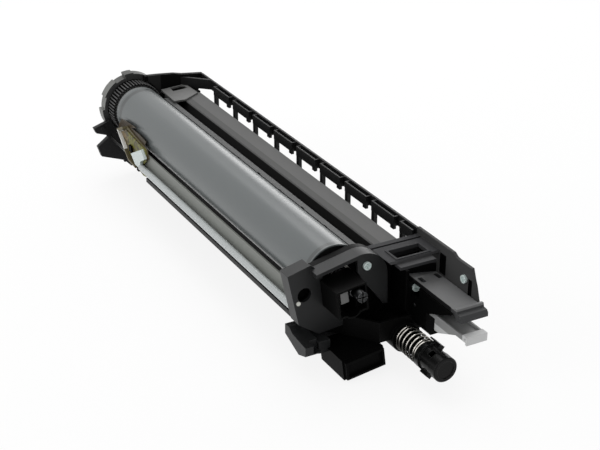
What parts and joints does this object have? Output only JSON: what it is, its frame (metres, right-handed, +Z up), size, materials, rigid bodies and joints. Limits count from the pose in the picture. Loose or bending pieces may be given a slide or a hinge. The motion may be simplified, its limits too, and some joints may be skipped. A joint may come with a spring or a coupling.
{
  "type": "printer drum unit",
  "caption": "Long image drum in a narrow black frame, with a helical end gear, a waste outlet under a spring and a flat pull handle at the front.",
  "frame": {"origin": "on the drum axis, half way along the journal that the shaft shows at the front", "axes": "+Y along the drum to its gear end, +Z up, +X towards the guide comb"},
  "size_m": [0.0796, 0.3366, 0.0666],
  "materials": {
    "drum_coating": "satin organic coating",
    "steel": "turned",
    "black_plastic": "moulded, fine satin",
    "grey_plastic": "moulded, satin",
    "white_plastic": "moulded",
    "steel_sheet": "zinc-coated sheet, matt",
    "rubber": "cast sheet",
    "felt": "felt",
    "film": "thin film",
    "stay_sheet": "satin, warm grey",
    "clear_plastic": "clear, pale",
    "board": "olive laminate",
    "brass": "sheet",
    "spring_steel": "nickel-plated wire",
    "lever_plastic": "translucent grey",
    "screw_steel": "zinc-plated"
  },
  "bodies": {
    "frame": {"auger_bush": "white_plastic", "blade_end_seals": "felt", "blade_holder": "steel_sheet", "cleaning_blade": "rubber", "connector_box": "black_plastic", "contact_pad": "steel_sheet", "drum_frame": "black_plastic", "frame_screws": "screw_steel", "front_bush": "white_plastic", "front_cover": "black_plastic", "front_frame": "black_plastic", "guide_comb": "black_plastic", "handle_plate": "black_plastic", "lever_bracket": "black_plastic", "idler_pin": "steel", "lamp_board": "board", "lamp_contact": "brass", "lamp_diode": "film", "lamp_holder": "white_plastic", "lamp_lens": "clear_plastic", "lever_pin": "steel", "light_guide": "clear_plastic", "lower_seal": "film", "outlet_spring": "spring_steel", "rail_bracket": "black_plastic", "rear_bush": "white_plastic", "rear_cap": "grey_plastic", "rear_cover": "black_plastic", "rear_fork": "black_plastic", "rear_window_plate": "grey_plastic", "side_rail": "black_plastic", "side_stay": "stay_sheet", "sight_peg": "white_plastic", "upper_seal": "film", "waste_pipe": "black_plastic"},
    "drum": {"drum_tube": "drum_coating", "drum_front_flange": "black_plastic", "drum_shaft": "steel", "drum_gear": "black_plastic", "drum_earth_plate": "brass", "shaft_clip": "spring_steel"},
    "auger": {"waste_auger": "black_plastic", "auger_gear": "black_plastic"},
    "idler": {"idler_gear": "black_plastic"},
    "shutter": {"shutter_sleeve": "black_plastic"},
    "lever": {"release_lever": "lever_plastic"}
  },
  "joints": [
    {"name": "drum_spin", "type": "hinge", "parent": "frame", "child": "drum", "pos_m": [0, 0, 0], "axis": [0, 1, 0], "continuous": true},
    {"name": "idler_spin", "type": "hinge", "parent": "frame", "child": "idler", "pos_m": [0.01833, 0.2838, -0.01389], "axis": [0, 1, 0], "continuous": true},
    {"name": "auger_spin", "type": "hinge", "parent": "frame", "child": "auger", "pos_m": [0.027, 0.2838, -0.0308], "axis": [0, 1, 0], "continuous": true},
    {"name": "shutter_slide", "type": "slide", "parent": "frame", "child": "shutter", "axis": [0, 1, 0], "range_m": [0, 0.008], "stiffness_N_per_m": 200, "springref_m": -0.01, "deforming": ["outlet_spring"]},
    {"name": "lever_lift", "type": "hinge", "parent": "frame", "child": "lever", "pos_m": [0.0396, 0.0008, -0.0146], "axis": [-1, 0, 0], "range_deg": [0, 7], "stiffness_Nm_per_rad": 0.02, "springref_deg": -5.73}
  ],
  "couplings": [
    {"joint": "idler_spin", "follows": "drum_spin", "ratio": -1.0909},
    {"joint": "auger_spin", "follows": "drum_spin", "ratio": 1.5}
  ]
}
